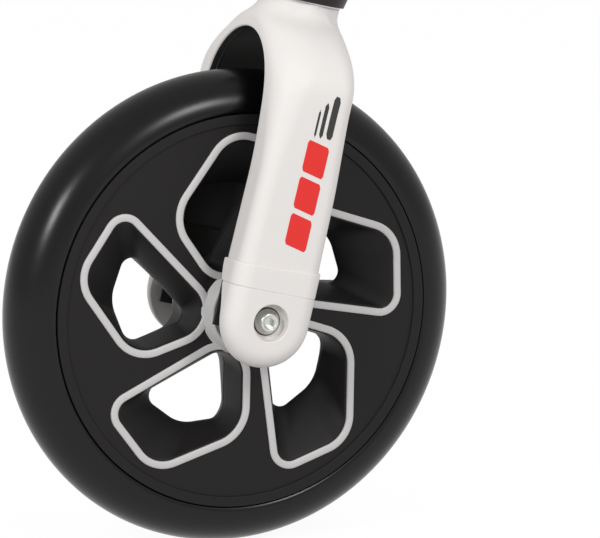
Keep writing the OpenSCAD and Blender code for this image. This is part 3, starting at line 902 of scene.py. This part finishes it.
@dataclass
class Liner:
    """Black lining of the arch: a rim along each edge, a tray between them and a plate at each hub end."""

    layout: Layout
    shell: ForkShell
    plate_low: float = -8.0
    plate_half: float = 23.4
    plate_t: float = 2.0
    rim: float = 3.4
    tray_side: float = 1.6
    tray_d: float = 3.0
    tray_t: float = 0.9
    foot_rows: int = 3

    def tray(self, rear: float, front: float) -> list[Point]:
        """Inner line of the lining, from its front edge to its rear edge.

        Args:
            rear: Rear surface of the shell.
            front: Front surface of the shell.

        Returns:
            Places fore and aft, with the depth below the arch's surface.
        """
        steps = 8
        start = self.shell.edge_round
        step = start + self.rim
        edge = [(start, 0.02), (start + 0.2, -0.12), (step, -0.12), (step + 0.05, 2.6),
                (step + 1.1, 2.6), (step + 1.2, 1.0), (step + 4.0, self.tray_side)]
        ahead = [(front - x, d) for x, d in edge]
        behind = [(rear + x, d) for x, d in reversed(edge)]
        floor = []
        for k in range(1, steps):
            depth = mix(self.tray_side, self.tray_d, math.sin(math.pi * k / steps))
            floor.append((mix(ahead[-1][0], behind[0][0], k / steps), depth))
        return ahead + floor + behind

    def build(self) -> None:
        """Make the lining from the left plate over the arch to the right plate."""
        overlap = 0.01
        draft = Draft(self.layout.on_fork)
        pairs = self.shell.stations()[self.foot_rows:-self.foot_rows]
        (first_y, first_s), (last_y, _) = pairs[0][0], pairs[-1][0]
        last = len(self.tray(-1.0, 1.0)) - 1
        middle = self.shell.rake / 2.0
        front, rear = middle + self.plate_half, middle - self.plate_half
        plate = [(mix(front, rear, k / last), -self.plate_t) for k in range(last + 1)]
        levels = [self.plate_low, self.plate_low + overlap, first_s - overlap]
        rows = [self.row(plate, (first_y, s), (1.0, 0.0), 0.0) for s in levels]
        for inner, outer in pairs:
            length = math.dist(inner, outer)
            way = ((outer[0] - inner[0]) / length, (outer[1] - inner[1]) / length)
            rows.append(self.row(self.tray(*self.shell.ends(*inner)), inner, way, self.tray_t))
        rows += [self.row(plate, (last_y, s), (-1.0, 0.0), 0.0) for s in reversed(levels)]
        draft.skin(rows, capped=True)
        draft.build("liner_skin", -UP, LINER_BLACK, "fork", "fork_liner")

    def row(self, line: Sequence[Point], spot: Point, way: Point, back: float) -> list[Spot]:
        """Closed section of the lining: its line, and a hidden side behind it or on the arch's surface."""
        hidden = [(x, d + back if back else 0.0) for x, d in reversed(line)]
        return [(x, spot[0] + way[0] * d, spot[1] + way[1] * d) for x, d in list(line) + hidden]


@dataclass
class LegEnd:
    """Band and rounded cap at the foot of a leg, with the counterbore for the axle bolt."""

    layout: Layout
    inner_y: float = 37.0
    outer_y: float = 57.5
    half_w: float = 24.7
    rounding: float = 9.5
    cap_h: float = 16.0
    band_h: float = 13.5
    band_lip: float = 0.7
    bore_r: float = 9.7
    floor_y: float = 51.1
    floor_round: float = 0.5
    floor_t: float = 1.8
    mouth: float = 0.6
    hole_r: float = 6.4
    spacer_r: float = 8.8
    seam: float = 0.28
    seam_d: float = 0.3
    hollow_d: float = 9.3
    hollow_top: float = 27.0
    hollow_h: float = 32.0
    hollow_edge: float = 0.6
    front_drop: float = 1.7
    rays: int = 120

    def inside(self, s: float) -> float:
        """Sideways place of the inner face, which is hollowed towards the round end."""
        return self.inner_y + self.hollow_d * smooth_step((self.hollow_top - s) / self.hollow_h)

    def build(self) -> None:
        """Make the caps and bands of both legs."""
        for side in Side:
            self.build_cap(side)
            self.build_band(side)

    def turns(self) -> list[float]:
        """Angles of the rays that make up the cap, with one at each corner.

        Returns:
            The angles in radians.
        """
        apart = 0.02
        marks = {math.atan2(self.cap_h, x) for x in (self.half_w, self.half_w - self.rounding)}
        marks |= {math.pi - a for a in marks}
        plain = [2.0 * math.pi * k / self.rays for k in range(self.rays)]
        return sorted([a for a in plain if min(abs(a - m) for m in marks) > apart] + list(marks))

    def ray(self, turn: float) -> list[Spot]:
        """Points of the cap's face from the counterbore's mouth to its edge.

        Args:
            turn: Angle of the ray, in radians, from the front.

        Returns:
            Points as x, s and y.
        """
        flat_steps, bend_steps = 4, 12
        tiny, least_flat = 1e-6, 0.01
        c, n = math.cos(turn), math.sin(turn)
        flat = self.half_w - self.rounding
        spread = max(abs(c) if n > 0.0 else 1.0, tiny)
        top = (self.cap_h - self.seam) / n if n > tiny else math.inf
        stop = min(self.half_w / spread, top)
        start = self.bore_r + self.mouth
        bend = max(min(flat / spread, stop), start + least_flat)
        spans = [(mix(start, bend, k / flat_steps), 0.0) for k in range(flat_steps + 1)]
        last = math.asin(clamp((stop * spread - flat) / self.rounding))
        for k in range(1, bend_steps + 1):
            angle = last * k / bend_steps
            r = (flat + self.rounding * math.sin(angle)) / spread if last > 0.0 else stop
            spans.append((r, self.rounding * (1.0 - math.cos(angle))))
        return [(r * c, r * n, self.outer_y - fall) for r, fall in spans]

    def build_cap(self, side: Side) -> None:
        """Rounded cap with its counterbore.

        Args:
            side: Side of the leg.
        """
        near = 1e-4
        inner_shares = (0.03, 0.2, 0.4, 0.6, 0.8, 1.0)
        turns = self.turns()
        rays = [self.ray(turn) for turn in turns]
        profile = [(self.hole_r, self.floor_y), (self.bore_r - self.floor_round, self.floor_y),
                   (self.bore_r, self.floor_y + self.floor_round)]
        profile += [(self.bore_r + self.mouth * fall, self.outer_y - self.mouth * left)
                    for fall, left in quarter(6)]
        rows = [[(r * math.cos(a), r * math.sin(a), y) for a in turns] for r, y in profile]
        rows += [[ray[k] for ray in rays] for k in range(1, len(rays[0]))]
        edge = []
        for x, s, y in rows[-1]:
            topped = abs(s - (self.cap_h - self.seam)) < near
            edge.append((x, self.cap_h, y - self.seam_d) if topped else (x, s, y))
        rows.append(edge)
        rows.append([(x, s, min(y, self.inside(s) + self.hollow_edge)) for x, s, y in edge])
        hole = [(self.spacer_r * math.cos(a), self.spacer_r * math.sin(a)) for a in turns]
        for share in inner_shares:
            spots = [(mix(x, u, share), mix(s, v, share)) for (x, s, _), (u, v) in zip(edge, hole)]
            rows.append([(x, s, self.inside(s)) for x, s in spots])
        rows.append([(x, s, self.floor_y - self.floor_t) for x, s in hole])
        draft = Draft(self.layout.on_leg_end(side))
        draft.skin(rows)
        draft.build(f"cap_skin_{side.word}", side.out, FORK_WHITE, "fork", f"leg_cap_{side.word}",
                    weighted=True)

    def band_line(self, s: float, inset: float) -> list[Point]:
        """Section of the band, seen from above.

        Args:
            s: Height of the section.
            inset: Distance by which the outline is pulled in.

        Returns:
            Points as x and y.
        """
        half, out, r = self.half_w - inset, self.outer_y - inset, self.rounding
        line = [(half, self.inside(s) + inset)]
        line += [(half - r * fall, out - r * left) for fall, left in quarter(12)]
        return line + [(-x, y) for x, y in reversed(line)]

    def build_band(self, side: Side) -> None:
        """Plain band between the cap and the leg.

        Args:
            side: Side of the leg.
        """
        steps = 5
        low, high, lip = self.cap_h, self.cap_h + self.band_h, self.band_lip
        levels = [(low, self.seam_d)]
        levels += [(mix(low + self.seam, high - lip, k / steps), 0.0) for k in range(steps + 1)]
        levels += [(high - lip * left, lip * fall) for fall, left in quarter(4)[1:]]
        rings = []
        for s, inset in levels:
            drop = self.front_drop * (s - low) / self.band_h
            line = self.band_line(s, inset)
            rings.append([(x, s - drop * (0.5 + 0.5 * x / self.half_w), y) for x, y in line])
        draft = Draft(self.layout.on_leg_end(side))
        draft.skin(rings, capped=True)
        draft.build(f"band_skin_{side.word}", side.out, FORK_WHITE, "fork", f"leg_band_{side.word}",
                    weighted=True)


@dataclass
class AxleBolt:
    """Button head with a flat round its bevelled hexagon socket, and the plain shank."""

    layout: Layout
    seat_y: float = 51.0
    head_r: float = 6.9
    head_h: float = 4.9
    edge_h: float = 0.8
    flat_r: float = 4.4
    ring_r: float = 3.7
    socket_r: float = 2.9
    socket_d: float = 2.6
    bevel_d: float = 0.8
    shank_r: float = 4.0
    shank_l: float = 30.8
    shank_edge: float = 0.6
    # Dark ring under each head: painted shadow in the gap between the head and the counterbore's floor.
    shadow_ring_r: float = 7.5
    shadow_ring_h: float = 0.5
    shadow_ring_edge: float = 0.15
    shadow_ring_under: float = 0.4
    around: int = 60

    def build(self) -> None:
        """Make the bolts of both legs, each with a dark ring under its head that is painted shadow."""
        for side in Side:
            self.build_bolt(side)
            self.build_shadow_ring(side)

    def build_bolt(self, side: Side) -> None:
        """One bolt, from its shank's end to the floor of its socket.

        Args:
            side: Side of the leg.
        """
        steps = 10
        dome = 1.3
        seat, top, tail = self.seat_y, self.seat_y + self.head_h, self.seat_y - self.shank_l
        profile = [(self.shank_r - self.shank_edge, tail), (self.shank_r, tail + self.shank_edge),
                   (self.shank_r, seat), (self.head_r - 0.2, seat), (self.head_r, seat + 0.2)]
        for k in range(steps + 1):
            r = mix(self.head_r, self.flat_r + 0.3, (k / steps) ** dome)
            profile.append((r, mix(seat + self.edge_h, top - 0.2, k / steps)))
        profile += [(self.flat_r + 0.1, top - 0.06), (self.flat_r - 0.1, top), (self.ring_r + 0.1, top),
                    (self.ring_r - 0.1, top - 0.1), (self.ring_r - 0.6, top - 0.7)]
        socket_y = top - self.bevel_d
        rows = [self.polygon(r, y, 0) for r, y in profile]
        rows += [self.polygon(self.socket_r, y, 6) for y in (socket_y, socket_y - self.socket_d)]
        draft = Draft(self.layout.on_leg_end(side))
        draft.skin(rows, capped=True)
        draft.build(f"bolt_skin_{side.word}", side.out, ZINC, "fork", f"axle_bolt_{side.word}")

    def build_shadow_ring(self, side: Side) -> None:
        """Dark ring between the head's edge and the floor of the counterbore, as painted shadow for the shade
        gap under the head.

        Args:
            side: Side of the leg.
        """
        inner, low, high = self.head_r - self.shadow_ring_under, self.seat_y, self.seat_y + self.shadow_ring_h
        profile = [(inner, low), (self.shadow_ring_r, low), (self.shadow_ring_r, high - self.shadow_ring_edge),
                   (self.shadow_ring_r - self.shadow_ring_edge, high), (inner, high)]
        draft = Draft(self.layout.on_leg_end(side))
        draft.lathe(profile, self.around, closed=True)
        # The dark ring stands in for the shade under the head: painted shadow.
        draft.build(f"bolt_shadow_ring_{side.word}", side.out, SHIELD, "fork")

    def polygon(self, radius: float, y: float, sides: int) -> list[Spot]:
        """Section of the bolt, with as many points whether it is round or has flats.

        Args:
            radius: Radius of its corners.
            y: Sideways place.
            sides: Number of flats, or 0 for a circle.

        Returns:
            The points, in turning order.
        """
        points = []
        for k in range(self.around):
            turn = 2.0 * math.pi * k / self.around
            r = radius
            if sides:
                half = math.pi / sides
                r = radius * math.cos(half) / math.cos((turn + half) % (2.0 * half) - half)
            points.append((r * math.cos(turn), r * math.sin(turn), y))
        return points


@dataclass(frozen=True)
class Lamp:
    """Soft box: metres to the right, up and towards the camera from the wheel, its edge and its watts."""

    name: str
    offset: Spot
    size: float
    power: float


@dataclass
class Studio:
    """Camera, floor, lamps and world of the photograph."""

    layout: Layout
    azimuth: float = 156.6
    elevation: float = 10.5
    distance: float = 3.3
    px_per_mm: float = 1.908
    wheel_px: Point = (227.2, 304.9)
    floor_half: float = 12.0
    floor_grey: float = 0.55
    floor_rough: float = 0.9
    floor_white: float = 1.1
    floor_share: float = 0.85
    world_light: float = 0.66
    left_box: Lamp = Lamp("left_box", (-0.83, 0.54, 1.38), 0.36, 9.5)
    right_box: Lamp = Lamp("right_box", (0.85, 0.71, 1.28), 0.34, 7.5)

    def axes(self) -> tuple[Vector, Vector, Vector]:
        """Right, up and back directions of the view of the wheel.

        Returns:
            The three directions.
        """
        a, e = math.radians(self.azimuth), math.radians(self.elevation)
        back = Vector((math.sin(a) * math.cos(e), -math.cos(a) * math.cos(e), math.sin(e)))
        right = Vector((math.cos(a), math.sin(a), 0.0))
        return right, back.cross(right), back

    def build(self, floor_z: float) -> None:
        """Make the stage.

        Args:
            floor_z: Height of the floor.
        """
        bpy.context.scene.view_settings.view_transform = "Standard"
        self.add_camera()
        self.add_floor(floor_z)
        self.add_world()
        self.add_lamp(self.left_box)
        self.add_lamp(self.right_box)

    def add_camera(self) -> None:
        """Long lens, turned until the axle falls on its place in the picture."""
        right, up, back = self.axes()
        focal_px = self.px_per_mm / MM * self.distance
        place = self.layout.axle + back * self.distance
        yaw = math.atan((IMAGE_WIDTH / 2.0 - self.wheel_px[0]) / focal_px)
        pitch = math.atan((self.wheel_px[1] - IMAGE_HEIGHT / 2.0) / focal_px)
        c, n = math.cos(yaw), math.sin(yaw)
        right, back = right * c + back * n, back * c - right * n
        c, n = math.cos(pitch), math.sin(pitch)
        up, back = up * c + back * n, back * c - up * n
        camera = bpy.data.objects.new("camera", bpy.data.cameras.new("camera"))
        camera.data.lens = camera.data.sensor_width * focal_px / IMAGE_WIDTH
        camera.data.clip_end = 100.0
        turn = Matrix((right, up, back)).transposed().to_4x4()
        camera.matrix_world = Matrix.Translation(place) @ turn
        bpy.context.scene.collection.objects.link(camera)
        bpy.context.scene.camera = camera

    def add_floor(self, floor_z: float) -> None:
        """Pale floor that the camera sees as nearly white, with its shadow kept.

        Args:
            floor_z: Height of the floor.
        """
        mesh = bpy.data.meshes.new("floor")
        signs = ((-1.0, -1.0), (1.0, -1.0), (1.0, 1.0), (-1.0, 1.0))
        spots = [(self.floor_half * x, self.floor_half * y, floor_z) for x, y in signs]
        mesh.from_pydata(spots, [], [(0, 1, 2, 3)])
        floor = bpy.data.objects.new("floor", mesh)
        bpy.context.scene.collection.objects.link(floor)
        paint = bpy.data.materials.new("floor_white")
        paint.use_nodes = True
        tree = paint.node_tree
        plain = tree.nodes["Principled BSDF"]
        plain.inputs["Base Color"].default_value = (self.floor_grey, self.floor_grey, self.floor_grey, 1.0)
        plain.inputs["Roughness"].default_value = self.floor_rough
        white = tree.nodes.new("ShaderNodeEmission")
        white.inputs["Strength"].default_value = self.floor_white
        path = tree.nodes.new("ShaderNodeLightPath").outputs
        mirrored = add_math(tree, "MAXIMUM", path["Is Glossy Ray"], path["Is Transmission Ray"])
        shown = add_math(tree, "MAXIMUM", path["Is Camera Ray"], mirrored)
        blend = tree.nodes.new("ShaderNodeMixShader")
        tree.links.new(add_math(tree, "MULTIPLY", shown, self.floor_share), blend.inputs[0])
        tree.links.new(plain.outputs[0], blend.inputs[1])
        tree.links.new(white.outputs[0], blend.inputs[2])
        tree.links.new(blend.outputs[0], tree.nodes["Material Output"].inputs["Surface"])
        mesh.materials.append(paint)

    def add_world(self) -> None:
        """Soft even light from all round."""
        world = bpy.data.worlds.new("studio")
        world.use_nodes = True
        soft = world.node_tree.nodes["Background"]
        soft.inputs["Color"].default_value = (1.0, 1.0, 1.0, 1.0)
        soft.inputs["Strength"].default_value = self.world_light
        bpy.context.scene.world = world

    def add_lamp(self, lamp: Lamp) -> None:
        """Put up a lamp, aimed at the wheel.

        Args:
            lamp: The lamp's place, size and power.
        """
        right, up, back = self.axes()
        data = bpy.data.lights.new(lamp.name, "AREA")
        data.shape = "SQUARE"
        data.size = lamp.size
        data.energy = lamp.power
        piece = bpy.data.objects.new(lamp.name, data)
        aim = right * lamp.offset[0] + up * lamp.offset[1] + back * lamp.offset[2]
        turn = aim.to_track_quat("Z", "Y").to_matrix().to_4x4()
        piece.matrix_world = Matrix.Translation(self.layout.axle + aim) @ turn
        bpy.context.scene.collection.objects.link(piece)


def finish_nodes(nodes: dict[str, bpy.types.Object]) -> None:
    """Give the CAD nodes that still show their materials and soft edges.

    Args:
        nodes: The frame's CAD nodes.
    """
    edge_deg = 40.0
    edge_steps = 3
    for name, finish in NODE_FINISHES.items():
        node = nodes[name]
        node.data.materials.clear()
        node.data.materials.append(finish.material())
        width = NODE_BEVELS.get(name)
        if width is not None:
            bevel = node.modifiers.new("edges", "BEVEL")
            bevel.width = width * MM
            bevel.segments = edge_steps
            bevel.limit_method = "ANGLE"
            bevel.angle_limit = math.radians(edge_deg)
            bevel.harden_normals = True
        LOG.info("%s keeps its CAD shape with %s", name, finish.name)


def corners(box: tuple[Vector, Vector]) -> list[list[float]]:
    """Lowest and highest corner of a box as plain lists."""
    return [list(corner) for corner in box]


def main() -> None:
    """Build the dressed model in the frame of the CAD model."""
    logging.basicConfig(level=logging.INFO, format="%(name)s: %(message)s")
    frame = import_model()
    layout = Layout.from_joints(frame["joints"])
    Studio(layout).build(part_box("tyre")[0].z)
    Wheel(layout).build()
    shell = ForkShell(layout)
    shell.build()
    Liner(layout, shell).build()
    LegEnd(layout).build()
    AxleBolt(layout).build()
    finish_nodes(frame["nodes"])


if __name__ == "__main__":
    main()
